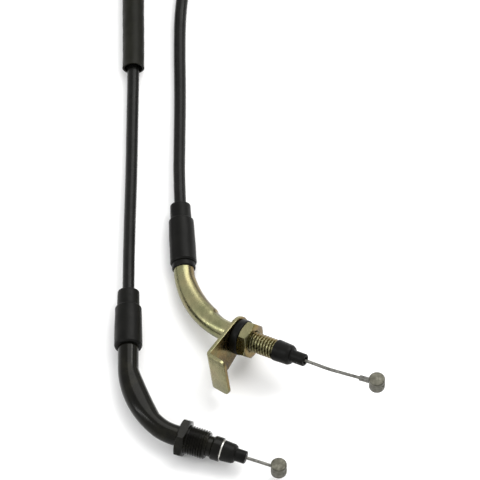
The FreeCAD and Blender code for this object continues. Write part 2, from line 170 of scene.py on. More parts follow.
BAR = fitting_frame(BAR_CORNER, BAR_TURN)
BAR_BACK = casing_frame(BAR_CORNER)
CARB = fitting_frame(CARB_CORNER, CARB_TURN, CARB_RISE)
CARB_BACK = casing_frame(CARB_CORNER, CARB_RUN_TURN)


def x_axis(matrix):
    return matrix.col[0].to_3d()


# ---------------------------------------------------------------- mesh makers
def mesh_object(name, verts, faces, sharp=35.0):
    """A smooth-shaded mesh from points in millimetres, with edges over the sharp angle kept crisp."""
    mesh = bpy.data.meshes.new(name)
    mesh.from_pydata([Vector(v) * MM for v in verts], [], faces)
    work = bmesh.new()
    work.from_mesh(mesh)
    bmesh.ops.remove_doubles(work, verts=work.verts, dist=1e-7)
    bmesh.ops.recalc_face_normals(work, faces=work.faces)
    work.to_mesh(mesh)
    work.free()
    mesh.shade_smooth()
    mesh.set_sharp_from_angle(angle=math.radians(sharp))
    piece = bpy.data.objects.new(name, mesh)
    bpy.context.scene.collection.objects.link(piece)
    return piece


def skinned(name, rows, sharp=35.0, capped=False):
    """Skins rows of points, each a closed ring. The last row joins the first unless the ends are capped."""
    across = len(rows[0])
    verts = [p for row in rows for p in row]
    faces = []
    if capped:
        faces.append(tuple(range(across)))
        faces.append(tuple(len(verts) - across + k for k in range(across)))
    for i in range(len(rows) - (1 if capped else 0)):
        j = (i + 1) % len(rows)
        for k in range(across):
            n = (k + 1) % across
            faces.append((i * across + k, i * across + n, j * across + n, j * across + k))
    return mesh_object(name, verts, faces, sharp)


def rounded(outline, steps=4):
    """A closed outline of (station, radius, fillet) corners, as (station, radius) points."""
    points = []
    count = len(outline)
    for i, (x, r, fillet) in enumerate(outline):
        here = Vector((x, r))
        if not fillet:
            points.append(here)
            continue
        before = Vector(outline[i - 1][:2]) - here
        after = Vector(outline[(i + 1) % count][:2]) - here
        half = before.angle(after) / 2
        cut = min(fillet / math.tan(half), 0.45 * before.length, 0.45 * after.length)
        fillet = cut * math.tan(half)
        before.normalize()
        after.normalize()
        centre = here + (before + after).normalized() * (fillet / math.sin(half))
        start, end = here + before * cut - centre, here + after * cut - centre
        for step in range(steps + 1):
            spoke = start.slerp(end, step / steps)  # of length 1
            points.append(centre + spoke * fillet)
    return points


def turned(name, matrix, outline, around=72, shape=None, sharp=35.0):
    """Turns a closed outline about local X. shape(x, r, a) may move a point to another (x, r)."""
    rows = []
    for point in outline:
        row = []
        for k in range(around):
            a = 2 * math.pi * k / around
            x, r = shape(point[0], point[1], a) if shape else (point[0], point[1])
            row.append(matrix @ Vector((x, r * math.cos(a), r * math.sin(a))))
        rows.append(row)
    return skinned(name, rows, sharp)


def finely(outline, step):
    """Divides an outline's long stretches, so that shape() has points to move."""
    points = []
    for i, here in enumerate(outline):
        after = Vector(outline[(i + 1) % len(outline)])
        parts = max(1, int((after - Vector(here)).length / step))
        for n in range(parts):
            points.append(Vector(here).lerp(after, n / parts))
    return points


def swept(name, path, section, bore=0.0, around=40, sharp=35.0):
    """A tube along path, a list of (point, tangent, side, distance). section(s, a) is its radius."""
    rows = []
    for point, tangent, side, distance in path:
        rows.append(ring_points(point, tangent, side, lambda a, s=distance: section(s, a), around))
    if not bore:
        return skinned(name, rows, sharp, capped=True)
    for point, tangent, side, distance in reversed(path):
        rows.append(ring_points(point, tangent, side, lambda a: bore, around))
    return skinned(name, rows, sharp)


def ring_points(point, tangent, side, radius, around):
    up = tangent.cross(side)
    ring = []
    for k in range(around):
        a = 2 * math.pi * k / around
        ring.append(point + (side * math.cos(a) + up * math.sin(a)) * radius(a))
    return ring


def smooth_step(value, low, high):
    t = min(1.0, max(0.0, (value - low) / (high - low)))
    return t * t * (3 - 2 * t)


# ---------------------------------------------------------------- shader helpers
class Look:
    """One Principled material and its node tree. Patterns use object coordinates, in metres."""

    def __init__(self, name, colour, roughness, metallic=0.0, **sockets):
        self.material = bpy.data.materials.new(name)
        self.material.use_nodes = True
        self.tree = self.material.node_tree
        self.shader = self.tree.nodes["Principled BSDF"]
        self.set("Base Color", (*colour, 1))
        self.set("Roughness", roughness)
        self.set("Metallic", metallic)
        for key, value in sockets.items():
            self.set(key.replace("_", " "), value)
        self.place = self.tree.nodes.new("ShaderNodeTexCoord").outputs["Object"]

    def set(self, socket, value):
        self.shader.inputs[socket].default_value = value

    def link(self, source, socket):
        self.tree.links.new(source, self.shader.inputs[socket])

    def stretched(self, scale):
        """Object coordinates with another scale along each axis."""
        node = self.tree.nodes.new("ShaderNodeMapping")
        node.inputs["Scale"].default_value = scale
        self.tree.links.new(self.place, node.inputs["Vector"])
        return node.outputs["Vector"]

    def noise(self, scale, detail=3.0, rough=0.5, vector=None):
        node = self.tree.nodes.new("ShaderNodeTexNoise")
        node.inputs["Scale"].default_value = scale
        node.inputs["Detail"].default_value = detail
        node.inputs["Roughness"].default_value = rough
        self.tree.links.new(vector or self.place, node.inputs["Vector"])
        return node.outputs["Fac"]

    def cells(self, scale):
        node = self.tree.nodes.new("ShaderNodeTexVoronoi")
        node.inputs["Scale"].default_value = scale
        self.tree.links.new(self.place, node.inputs["Vector"])
        return node.outputs["Distance"]

    def ramp(self, source, *stops):
        """A colour ramp from (position, colour) stops; a number stands for a grey."""
        node = self.tree.nodes.new("ShaderNodeValToRGB")
        bar = node.color_ramp.elements
        while len(bar) < len(stops):
            bar.new(0.5)
        for element, (position, colour) in zip(bar, stops):
            element.position = position
            element.color = (*colour, 1) if isinstance(colour, tuple) else (colour, colour, colour, 1)
        self.tree.links.new(source, node.inputs["Fac"])
        return node.outputs["Color"]

    def mixed(self, factor, a, b, kind="MIX"):
        node = self.tree.nodes.new("ShaderNodeMix")
        node.data_type = "RGBA"
        node.blend_type = kind
        for socket, value in (("Factor", factor), ("A", a), ("B", b)):
            spots = [s for s in node.inputs if s.name == socket and s.enabled]
            if isinstance(value, (int, float)):
                spots[0].default_value = value
            elif isinstance(value, tuple):
                spots[0].default_value = (*value, 1)
            else:
                self.tree.links.new(value, spots[0])
        return [s for s in node.outputs if s.enabled][0]

    def normal_part(self, axis):
        """0 to 1: how far the surface faces along the object's axis."""
        split = self.tree.nodes.new("ShaderNodeSeparateXYZ")
        geometry = self.tree.nodes.new("ShaderNodeNewGeometry")
        self.tree.links.new(geometry.outputs["Normal"], split.inputs["Vector"])
        half = self.tree.nodes.new("ShaderNodeMath")
        half.operation = "MULTIPLY_ADD"
        half.inputs[1].default_value = half.inputs[2].default_value = 0.5
        self.tree.links.new(split.outputs[axis], half.inputs[0])
        return half.outputs["Value"]

    def bump(self, source, height, strength=1.0, below=None):
        node = self.tree.nodes.new("ShaderNodeBump")
        node.inputs["Strength"].default_value = strength
        node.inputs["Distance"].default_value = height
        self.tree.links.new(source, node.inputs["Height"])
        if below:
            self.tree.links.new(below, node.inputs["Normal"])
        self.link(node.outputs["Normal"], "Normal")
        return node.outputs["Normal"]


# ---------------------------------------------------------------- materials, one per record slot
def black_steel():
    """Black oxide: brown-black, thin and slightly uneven, a little worn."""
    look = Look("black_steel", (0.005, 0.0048, 0.0035), 0.17, 0.2, Specular_IOR_Level=0.14)
    patches = look.noise(140, 4, 0.6)
    tone = look.ramp(
        patches,
        (0.3, (0.002, 0.0019, 0.0013)),
        (0.55, (0.005, 0.0048, 0.0032)),
        (0.8, (0.014, 0.013, 0.008)),
    )
    look.link(tone, "Base Color")
    look.link(look.ramp(look.noise(900, 3, 0.6), (0.3, 0.13), (0.75, 0.24)), "Roughness")
    look.bump(look.noise(1500, 4, 0.6), 0.00003, 0.5)
    return look.material


def yellow_zinc():
    """Yellow chromate: olive gold that turns to amber and brown-rose where it faces sideways, partly the
    plating's own tint and partly painted shade; the narrow dark bands are painted reflections.
    """
    look = Look("yellow_zinc", (0.34, 0.32, 0.18), 0.28, 1.0)
    gold = look.ramp(
        look.noise(55, 3, 0.55),
        (0.28, (0.17, 0.18, 0.09)),
        (0.45, (0.25, 0.24, 0.13)),
        (0.58, (0.29, 0.26, 0.14)),
        (0.75, (0.23, 0.18, 0.12)),
    )
    amber_tint_and_shade = look.ramp(
        look.noise(75, 3, 0.55),
        (0.3, (0.13, 0.13, 0.05)),
        (0.48, (0.24, 0.16, 0.045)),
        (0.62, (0.14, 0.10, 0.065)),
        (0.8, (0.10, 0.075, 0.07)),
    )
    # Painted shade: surfaces facing +X turn darker and warmer; the amber and rose are also the plating's own
    # tint.
    side = look.ramp(look.normal_part("X"), (0.62, 0.0), (0.9, 0.9))
    tint_and_shade = look.mixed(side, gold, amber_tint_and_shade)
    # Painted reflection: narrow near-black bands where the surface faces certain directions, standing in for
    # a dark surround mirrored in the metal.
    edge = look.ramp(look.normal_part("X"), (0.66, 0.0), (0.75, 0.85), (0.85, 0.1), (0.93, 0.1), (0.98, 0.8))
    tint_and_shade = look.mixed(edge, tint_and_shade, (0.05, 0.04, 0.028))
    streaks = look.ramp(look.noise(1, 4, 0.6, look.stretched((700, 220, 220))), (0.42, 0.8), (0.6, 1.0))
    look.link(look.mixed(0.5, tint_and_shade, streaks, "MULTIPLY"), "Base Color")
    look.link(look.ramp(look.noise(700, 3, 0.6), (0.3, 0.2), (0.75, 0.38)), "Roughness")
    look.bump(look.noise(1100, 4, 0.6), 0.00001, 0.5)
    return look.material


def rubber(name, dark, light, roughness):
    """Moulded rubber: a fine matt grain, slightly greyer where it is rubbed."""
    look = Look(name, dark, roughness, 0.0, Specular_IOR_Level=0.1)
    look.link(look.ramp(look.noise(160, 4, 0.6), (0.35, dark), (0.75, light)), "Base Color")
    rough = look.ramp(look.noise(500, 3, 0.6), (0.3, roughness - 0.06), (0.75, roughness + 0.08))
    look.link(rough, "Roughness")
    grain = look.bump(look.noise(4200, 2, 0.5), 0.00003, 0.5)
    look.bump(look.noise(260, 2, 0.5), 0.00012, 0.4, grain)
    return look.material


def casing_plastic():
    """Extruded black cover: satin, with the faint print of the wound conduit under it."""
    look = Look("casing_plastic", (0.006, 0.006, 0.005), 0.3, 0.0, Specular_IOR_Level=0.15)
    tone = look.ramp(look.noise(220, 3, 0.6), (0.35, (0.002, 0.002, 0.0016)), (0.7, (0.005, 0.005, 0.0042)))
    look.link(tone, "Base Color")
    look.link(look.ramp(look.noise(380, 3, 0.6), (0.3, 0.24), (0.75, 0.38)), "Roughness")
    fine = look.bump(look.noise(2600, 3, 0.6), 0.00002, 0.4)
    look.bump(look.noise(170, 2, 0.5), 0.00018, 0.35, fine)
    return look.material


def liner_plastic():
    look = Look("liner_plastic", (0.8, 0.79, 0.74), 0.35, 0.0, Subsurface_Weight=0.3)
    look.set("Subsurface Radius", (0.001, 0.001, 0.001))
    tone = look.ramp(look.noise(600, 3), (0.3, (0.72, 0.70, 0.64)), (0.7, (0.84, 0.83, 0.78)))
    look.link(tone, "Base Color")
    look.bump(look.noise(2000, 2), 0.00002, 0.3)
    return look.material


def wire_steel():
    look = Look("wire_steel", (0.42, 0.41, 0.38), 0.32, 1.0)
    tone = look.ramp(
        look.noise(900, 4, 0.6),
        (0.3, (0.09, 0.088, 0.08)),
        (0.6, (0.19, 0.187, 0.17)),
        (0.8, (0.32, 0.31, 0.28)),
    )
    look.link(tone, "Base Color")
    look.link(look.ramp(look.noise(1500, 2), (0.3, 0.25), (0.7, 0.45)), "Roughness")
    look.bump(look.noise(5000, 2), 0.00001, 0.4)
    return look.material


def nipple_alloy():
    """Dull die-cast alloy with small pits."""
    look = Look("nipple_alloy", (0.12, 0.115, 0.09), 0.45, 0.8)
    tone = look.ramp(
        look.noise(500, 5, 0.65),
        (0.3, (0.045, 0.043, 0.031)),
        (0.5, (0.085, 0.082, 0.064)),
        (0.75, (0.15, 0.146, 0.116)),
    )
    look.link(tone, "Base Color")
    look.link(look.ramp(look.noise(900, 3), (0.3, 0.38), (0.7, 0.6)), "Roughness")
    pits = look.bump(look.cells(2600), 0.00004, 0.4)
    look.bump(look.noise(1300, 4, 0.6), 0.00005, 0.5, pits)
    return look.material


def plated_steel():
    look = Look("plated_steel", (0.66, 0.65, 0.6), 0.28, 1.0)
    tone = look.ramp(look.noise(700, 4, 0.6), (0.3, (0.5, 0.49, 0.44)), (0.7, (0.74, 0.73, 0.69)))
    look.link(tone, "Base Color")
    look.link(look.ramp(look.noise(1200, 3), (0.3, 0.2), (0.7, 0.36)), "Roughness")
    look.bump(look.noise(2500, 2), 0.00001, 0.4)
    return look.material


MATERIALS = {
    "black_steel": black_steel(),
    "yellow_zinc": yellow_zinc(),
    "soft_rubber": rubber("soft_rubber", (0.002, 0.002, 0.0016), (0.0055, 0.0055, 0.0045), 0.4),
    "casing_plastic": casing_plastic(),
    "sleeve_plastic": rubber("sleeve_plastic", (0.006, 0.006, 0.004), (0.011, 0.011, 0.0075), 0.4),
    "tie_plastic": rubber("tie_plastic", (0.016, 0.016, 0.015), (0.034, 0.034, 0.032), 0.38),
    "liner_plastic": liner_plastic(),
    "wire_steel": wire_steel(),
    "nipple_alloy": nipple_alloy(),
    "plated_steel": plated_steel(),
}


def dress(piece, slot):
    piece.data.materials.clear()
    piece.data.materials.append(MATERIALS[slot])


def finished(piece, body, slot, *nodes):
    """Gives a new piece its finish, its body and the CAD nodes it stands for."""
    dress(piece, slot)
    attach(piece, body)
    if nodes:
        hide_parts(*nodes)
    return piece


def dress_cad_nodes():
    for part in frame["record"]["subparts"]:
        dress(NODES[part["node"]], part["material_slot"])


# ---------------------------------------------------------------- the casing, one free cord
def coil_point(travelled):
    """Centre of the cord after so many degrees of clockwise winding from the coil's left side."""
    outer, inner, top = COIL_LANES
    radius = outer + (inner - outer) * smooth_step(travelled, 270, 340)
    radius += (top - inner) * smooth_step(travelled, 600, 670)
    rise = smooth_step(travelled, 560, 625)
    settle = smooth_step(travelled, 700, 760) * (1 - smooth_step(travelled, 860, 940))
    z = COIL_LOW + (COIL_OVER - COIL_LOW) * rise - (COIL_OVER - COIL_TOP) * settle
    a = math.radians(180 - travelled)
    radius /= math.cos(math.radians(COIL_STEP / 2))
    return COIL_CENTRE + Vector((radius * math.cos(a), radius * math.sin(a), z))


def casing_route():
    points = [Vector(p) for p in BAR_ROUTE]
    steps = int(COIL_DEGREES / COIL_STEP)
    points += [coil_point(COIL_STEP * i) for i in range(1, steps + 1)]
    leave = math.radians(180 - COIL_DEGREES)
    away = Vector((math.sin(leave), -math.cos(leave), 0))
    points.append(points[-1] + away * 14.0 + Vector((0, 0, 0.2)))
    points += [Vector(p) for p in reversed(CARB_ROUTE)]
    return points


def spline_curve(name, points, radius):
    """A NURBS curve of order 3 through the route's control points."""
    data = bpy.data.curves.new(name, "CURVE")
    data.dimensions = "3D"
    spline = data.splines.new("NURBS")
    spline.points.add(len(points) - 1)
    for spot, p in zip(spline.points, points):
        spot.co = (*(p * MM), 1)
    spline.order_u = 3
    spline.use_endpoint_u = True
    data.resolution_u = 12
    data.bevel_depth = radius * MM
    data.bevel_resolution = 7
    data.use_fill_caps = True
    piece = bpy.data.objects.new(name, data)
    bpy.context.scene.collection.objects.link(piece)
    return piece


def line_of(curve):
    """The curve's own points, in millimetres, read from a copy without its thickness."""
    bare = bpy.data.objects.new("line", curve.data.copy())
    bare.data.bevel_depth = 0
    bpy.context.scene.collection.objects.link(bare)
    mesh = bpy.data.meshes.new_from_object(bare.evaluated_get(bpy.context.evaluated_depsgraph_get()))
    points = [v.co / MM for v in mesh.vertices]
    bpy.data.objects.remove(bare)
    bpy.data.meshes.remove(mesh)
    return points


def path_along(points, side_hint):
    """Points as (point, tangent, side, distance) for swept()."""
    path, distance = [], 0.0
    for i, point in enumerate(points):
        ahead = points[min(i + 1, len(points) - 1)]
        behind = points[max(i - 1, 0)]
        tangent = (ahead - behind).normalized()
        side = (side_hint - tangent * side_hint.dot(tangent)).normalized()
        if i:
            distance += (point - points[i - 1]).length
        path.append((point, tangent, side, distance))
    return path


def even(points, step):
    """The same line with points a step apart."""
    marks = [0.0]
    for a, b in zip(points, points[1:]):
        marks.append(marks[-1] + (b - a).length)
    count = max(2, int(marks[-1] / step))
    result, i = [], 0
    for n in range(count + 1):
        goal = marks[-1] * n / count
        while i < len(points) - 2 and marks[i + 1] < goal:
            i += 1
        result.append(points[i].lerp(points[i + 1], (goal - marks[i]) / (marks[i + 1] - marks[i])))
    return result


def protective_sleeve(line):
    """A loose vinyl tube over the casing, with slightly belled ends and soft dents."""
    stretch = [p for p in line if SLEEVE_SPAN[0] - 3 < p.y < SLEEVE_SPAN[1] + 3 and p.x < -40]
    stretch = [p for p in even(stretch, 0.8) if SLEEVE_SPAN[0] <= p.y <= SLEEVE_SPAN[1]]
    lifted = [Vector((p.x, p.y, SLEEVE_HEIGHT)) for p in stretch]
    path = path_along(lifted, Vector((1, 0, 0)))
    length = path[-1][3]

    def section(s, a):
        bell = 0.06 * (math.exp(-s / 1.2) + math.exp(-(length - s) / 1.2))
        dent = 0.05 * math.sin(s * 0.31 + 2 * a) + 0.04 * math.sin(s * 0.83 - a * 3)
        return SLEEVE_R + bell - abs(dent)

    return swept("sleeve_over_casing", path, section, bore=SLEEVE_BORE_R, around=48)


def coil_tie(angle, index):
    """A flat strap round the bundle of turns, with its ribs; its square head is a piece of its own."""
    half, low, top = 4.85, 0.75, 9.95
    corners = [(-half, 2.2), (-half + 1.5, low), (half - 1.5, low), (half, 2.2), (half, 5.3)]
    corners += [(2.6, top), (-2.6, top), (-half, 5.3)]
    loop = closed_loop([Vector((COIL_R + x, 0, z)) for x, z in corners], 26)
    turn = Matrix.Translation(COIL_CENTRE) @ Matrix.Rotation(math.radians(angle), 4, "Z")
    centre = sum(loop, Vector()) / len(loop)
    rows = []
    for i, p in enumerate(loop):
        out = p - centre
        out.y = 0
        out.normalize()
        thick = 0.6 + 0.12 * (i % 2)
        row = [p - Vector((0, 1.4, 0)), p + Vector((0, 1.4, 0))]
        row += [p + Vector((0, 1.15, 0)) + out * thick, p - Vector((0, 1.15, 0)) + out * thick]
        rows.append([turn @ q for q in row])
    return skinned(f"coil_tie_{index}", rows, 40)


def closed_loop(corners, divisions):
    """A closed smooth loop through corner-cut points, evenly spaced."""
    points = corners
    for _ in range(3):
        cut = []
        for a, b in zip(points, points[1:] + points[:1]):
            cut += [a.lerp(b, 0.2), a.lerp(b, 0.8)]
        points = cut
    return even(points + points[:1], perimeter(points) / (2 * divisions))[:-1]


def perimeter(points):
    return sum((b - a).length for a, b in zip(points, points[1:] + points[:1]))


def tie_head(angle, index):
    """The strap's square head, outside the ring, with its slot edge rounded."""
    turn = Matrix.Translation(COIL_CENTRE) @ Matrix.Rotation(math.radians(angle), 4, "Z")
    work = bmesh.new()
    bmesh.ops.create_cube(work, size=1)
    bmesh.ops.scale(work, vec=(1.8, 4.4, 3.4), verts=work.verts)
    bmesh.ops.bevel(work, geom=work.edges[:], offset=0.45, segments=3, profile=0.5, affect="EDGES")
    bmesh.ops.translate(work, vec=(COIL_R + 6.2, 0, 3.9), verts=work.verts)
    bmesh.ops.transform(work, matrix=turn, verts=work.verts)
    verts = [v.co.copy() for v in work.verts]
    faces = [[v.index for v in f.verts] for f in work.faces]
    work.free()
    return mesh_object(f"coil_tie_head_{index}", verts, faces, 40)


def build_cord():
    casing = spline_curve("casing", casing_route(), CASING_R)
    line = line_of(casing)
    finished(casing, "cable", "casing_plastic", "handlebar_run", "carburettor_run", "cable_coil")
    sleeve = finished(protective_sleeve(line), "cable", "sleeve_plastic", "protective_sleeve")
    on_cord = [sleeve]
    for index, angle in enumerate(TIE_ANGLES):
        strap = coil_tie(angle, index)
        finished(strap, "cable", "tie_plastic", *(["cable_ties"] if index == 0 else []))
        head = finished(tie_head(angle, index), "cable", "tie_plastic")
        on_cord += [strap, head]


# ---------------------------------------------------------------- shapes along the fittings
HEX_BLANK = 9.0  # radius of the outline points that are drawn in to a hexagon
THREAD_BLANK = 8.0  # and of those that are drawn in to a thread


def hexagon_shape(flats, start, end):
    """For turned(): draws the outer points in to a hexagon with chamfered corners."""
    low = flats / 2 * 0.97

    def shape(x, r, a):
        flat = flats / 2 / math.cos(math.radians(math.degrees(a) % 60 - 30))
        cone = low + 2 * min(x - start, end - x)
        return x, min(r, flat, cone)

    return shape


def thread_shape(radius, pitch, start, end):
    """For turned(): a right-hand helical groove between start and end, with a chamfered free end."""
    depth = 0.6 * pitch

    def shape(x, r, a):
        turn = (x / pitch - a / (2 * math.pi)) % 1.0
        groove = 1 - smooth_step(min(turn, 1 - turn), 0.09, 0.43)
        groove *= 1 - smooth_step(start + 0.9 * pitch - x, 0, 0.7 * pitch)
        tip = radius - max(0.0, x - (end - 0.7))
        return x, min(radius - depth * groove, tip)

    return shape


def bend_path(corner, inward, outward, arcs, tail, nose, step=0.7):
    """The centreline of a bent tube, as in the CAD part, with side towards the bend's centre."""
    total = sum(math.radians(a) for r, a in arcs)
    if len(arcs) == 1:
        before = arcs[0][0] * math.tan(total / 2)
    else:
        (r1, a1), (r2, a2) = arcs
        t1, t2 = r1 * math.tan(math.radians(a1) / 2), r2 * math.tan(math.radians(a2) / 2)
        before = t1 + (t1 + t2) * math.sin(math.radians(a2)) / math.sin(total)
    axis = inward.cross(outward).normalized()
    points = [corner - inward * tail]
    point, heading = corner - inward * before, inward.copy()
    points.append(point.copy())
    for radius, angle in arcs:
        centre = point + axis.cross(heading) * radius
        steps = max(2, int(math.radians(angle) * radius / step))
        for i in range(1, steps + 1):
            turn = Matrix.Rotation(math.radians(angle) * i / steps, 3, axis)
            points.append(centre + turn @ (point - centre))
        heading = Matrix.Rotation(math.radians(angle), 3, axis) @ heading
        point = points[-1]
    points.append(corner + outward * nose)
    path = []
    for spot, tangent, side, distance in path_along(even(points, step), axis):
        path.append((spot, tangent, side.cross(tangent), distance))
    return path


def pressed_tube(name, path, lift):
    """A bent tube whose inner wall stands out by lift(s), flattened by the bending tool."""

    def section(s, a):
        return TUBE_R + lift(s) * max(0.0, math.cos(a)) ** 2

    return swept(name, path, section, bore=TUBE_BORE_R, around=64)


def handlebar_lift(s):
    """The inner wall runs straight across the bend."""
    return 1.6 * max(0.0, 1 - ((s - 33.2) / 12.4) ** 2)


def carburettor_lift(s):
    """The inner wall swells slowly, then steps back where the tool ended."""
    swell = 1.1 * (1 - ((min(s, 39.1) - 39.1) / 21.6) ** 2) if s > 17.5 else 0.0
    return swell * (1 - 0.7 * smooth_step(s, 39.1, 40.9)) * (1 - smooth_step(s, 40.9, 45.5))


def stranded(name, path, radius=WIRE_R, strands=7, lay=5.0):
    """Twisted strands as lobes that wind along the wire."""

    def section(s, a):
        phase = strands * (a - 2 * math.pi * s / lay) / 2
        return radius * (0.76 + 0.24 * abs(math.cos(phase)) ** 0.7)

    return swept(name, path, section, around=64)


def straight_path(matrix, start, end, step=0.25):
    points = [matrix @ Vector((start, 0, 0)), matrix @ Vector((end, 0, 0))]
    return path_along(even(points, step), Vector((0, 0, 1)))


# ---------------------------------------------------------------- pieces of both ends
def rubber_skin(seed):
    """For turned(): soft unevenness of moulded rubber."""

    def shape(x, r, a):
        wave = math.sin(2 * a + 0.35 * x + seed) + 0.7 * math.sin(3 * a - 0.6 * x + 2 * seed)
        return x, r + 0.035 * wave * min(1.0, r / 4)

    return shape


def boot(name, matrix, near, far, radii, step, seed):
    """A two-step boot: open over the tube, rolled edge at its mouth, snug on the casing."""
    body, neck = radii
    seat = near + SEAT
    outline = [
        (near, TUBE_R + 0.02, 0),
        (near, body - 0.35, 0.25),
        (near + 0.8, body, 0.5),
        (step - 0.2, body - 0.3, 0.5),
        (step + 0.05, neck + 0.12, 0.25),
        (far, neck - 0.08, 0.5),
        (far, CASING_R + 0.9, 0.25),
        (far - 1.6, CASING_R + 0.06, 0),
        (seat, CASING_R + 0.06, 0),
        (seat, TUBE_R + 0.02, 0),
    ]
    return turned(name, matrix, finely(rounded(outline), 0.8), shape=rubber_skin(seed), around=64)


def dust_cap(name, matrix, start, step, end, radii, seed):
    """A two-step cap with a hole in its tip for the wire."""
    body, tip, inside, hole = radii
    outline = [
        (start + 0.02, inside, 0),
        (start + 0.02, body + 0.1, 0.2),
        (start + 0.9, body + 0.1, 0.5),
        (step - 1.0, body - 0.12, 0.8),
        (step, body - 0.7, 0.5),
        (step + 0.05, tip + 0.02, 0.3),
        (end - 0.3, tip - 0.02, 0.3),
        (end, tip - 0.4, 0.25),
        (end, hole, 0),
        (start + 4.0, hole, 0),
        (start + 4.0, inside, 0),
    ]
    return turned(name, matrix, finely(rounded(outline), 0.5), shape=rubber_skin(seed), around=64)


def eased_copy(node, width):
    """A CAD node's shape with its sharp edges rounded over."""
    source = NODES[node].data
    work = bmesh.new()
    work.from_mesh(source)
    bmesh.ops.remove_doubles(work, verts=work.verts, dist=1e-7)
    bmesh.ops.dissolve_limit(work, angle_limit=math.radians(1.0), verts=work.verts, edges=work.edges)
    sharp = [e for e in work.edges if len(e.link_faces) == 2 and e.calc_face_angle(0) > math.radians(35)]
    bmesh.ops.bevel(
        work, geom=sharp, offset=width * MM, segments=3, profile=0.5, affect="EDGES", clamp_overlap=True
    )
    verts = [v.co / MM for v in work.verts]
    faces = [[v.index for v in f.verts] for f in work.faces]
    work.free()
    return mesh_object(f"{node}_eased", verts, faces, 40)


def nipple(name, node, body):
    return finished(eased_copy(node, 0.12), body, "nipple_alloy", node)


# ---------------------------------------------------------------- handlebar end
def handlebar_end():
    outward = x_axis(BAR)
    inward = Vector((0, -1, 0))
    tail = BAR_BOOT[0] + SEAT
    path = bend_path(BAR_CORNER, inward, outward, BAR_BENDS, tail, BAR_WASHER_END)
    tube = pressed_tube("handlebar_tube", path, handlebar_lift)
    finished(tube, "cable", "black_steel", "handlebar_elbow_tube")
    radius, length = BAR_SPIGOT
    start, end = BAR_WASHER_END, BAR_WASHER_END + length
    spigot = [(start, TUBE_BORE_R), (start, radius), (end, radius), (end, TUBE_BORE_R)]
    finished(turned("handlebar_spigot", BAR, spigot), "cable", "black_steel")

    union_screw()
    near, far = BAR_BOOT
    piece = boot("handlebar_boot_skin", BAR_BACK, near, far, BAR_BOOT_R, far - 7.0, 0.4)
    finished(piece, "cable", "soft_rubber", "handlebar_boot")
    start = BAR_WASHER_END - BAR_CAP_LAP
    piece = dust_cap("handlebar_cap_skin", BAR, start, BAR_CAP_STEP, BAR_CAP_END, BAR_CAP, 1.3)
    finished(piece, "cable", "soft_rubber", "handlebar_dust_cap")

    start, end = BAR_COLLAR
    collar = [(start, TUBE_R, 0), (start, TUBE_R + 0.3, 0.1), (start + 0.6, BAR_COLLAR_R, 0.3)]
    collar += [(end, BAR_COLLAR_R, 0.15), (end, TUBE_R, 0)]
    piece = turned("handlebar_collar_ring", BAR, rounded(collar))
    finished(piece, "cable", "black_steel", "handlebar_collar")
    start, end = end + 0.02, BAR_WASHER_END - 0.02
    washer = [(start, TUBE_R, 0), (start, BAR_WASHER_R, 0.1), (end, BAR_WASHER_R, 0.1), (end, TUBE_R, 0)]
    piece = turned("handlebar_washer_ring", BAR, rounded(washer))
    finished(piece, "cable", "plated_steel", "handlebar_seat_washer")

    path = straight_path(BAR, BAR_WIRE_START, BAR_NIPPLE + NIPPLE_R - 1.0)
    wire = stranded("handlebar_strands", path)
    finished(wire, "handlebar_wire", "wire_steel", "handlebar_inner_wire")
    nipple("handlebar_nipple_barrel", "handlebar_nipple", "handlebar_wire")


def union_screw():
    """Hexagon head and fine right-hand thread, bored for the tube."""
    start, neck = BAR_HEX
    bore = TUBE_R + TUBE_FIT
    hexagon = hexagon_shape(BAR_HEX_FLATS, start, neck)
    thread = thread_shape(BAR_THREAD_R, BAR_PITCH, neck, BAR_THREAD_END)
    rows = [(start, bore), (start, 6.2)]
    rows += [(start + (neck - start) * i / 36, HEX_BLANK) for i in range(37)]
    rows += [(neck, 6.0)]
    steps = int((BAR_THREAD_END - neck) * 14)
    rows += [(neck + (BAR_THREAD_END - neck) * i / steps, THREAD_BLANK) for i in range(steps + 1)]
    rows += [(BAR_THREAD_END, bore)]

    def shape(x, r, a):
        if r == HEX_BLANK:
            return hexagon(x, r, a)
        return thread(x, r, a) if r == THREAD_BLANK else (x, r)

    piece = turned("union_screw_body", BAR, rows, around=96, shape=shape, sharp=32)
    finished(piece, "union_screw", "black_steel", "handlebar_union_screw")


# ---------------------------------------------------------------- carburettor end
def carburettor_end():
    outward, inward = x_axis(CARB), -x_axis(CARB_BACK)
    near, far = CARB_BOOT
    angle = math.degrees(inward.angle(outward))
    joint = CARB_PLATE - PLATE_THICK - FLANGE_THICK - 0.05
    path = bend_path(CARB_CORNER, inward, outward, [(CARB_BEND_R, angle)], near + SEAT, joint)
    tube = pressed_tube("carburettor_tube", path, carburettor_lift)
    finished(tube, "cable", "yellow_zinc", "carburettor_elbow_tube")

    adjuster(joint)
    finished(eased_copy("stop_bracket", 0.22), "bracket", "yellow_zinc", "stop_bracket")
    spacer_and_nut()

    piece = boot("carburettor_boot_skin", CARB_BACK, near, far, CARB_BOOT_R, far - 6.6, 2.1)
    finished(piece, "cable", "soft_rubber", "carburettor_boot")
    start, end = near - 2.4, near - 0.05
    lip = [(start, TUBE_R, 0), (start, CARB_LIP_R - 0.2, 0.15), (start + 0.5, CARB_LIP_R, 0.25)]
    lip += [(end, CARB_LIP_R, 0.2), (end, TUBE_R, 0)]
    piece = turned("carburettor_lip_ring", CARB_BACK, rounded(lip))
    finished(piece, "cable", "soft_rubber", "carburettor_boot_lip")
    start = CARB_THREAD_END
    piece = dust_cap("carburettor_cap_skin", CARB, start, CARB_CAP_STEP, CARB_CAP_END, CARB_CAP, 0.2)
    finished(piece, "cable", "soft_rubber", "carburettor_dust_cap")

    carburettor_wire()
    nipple("carburettor_nipple_barrel", "carburettor_nipple", "carburettor_wire")


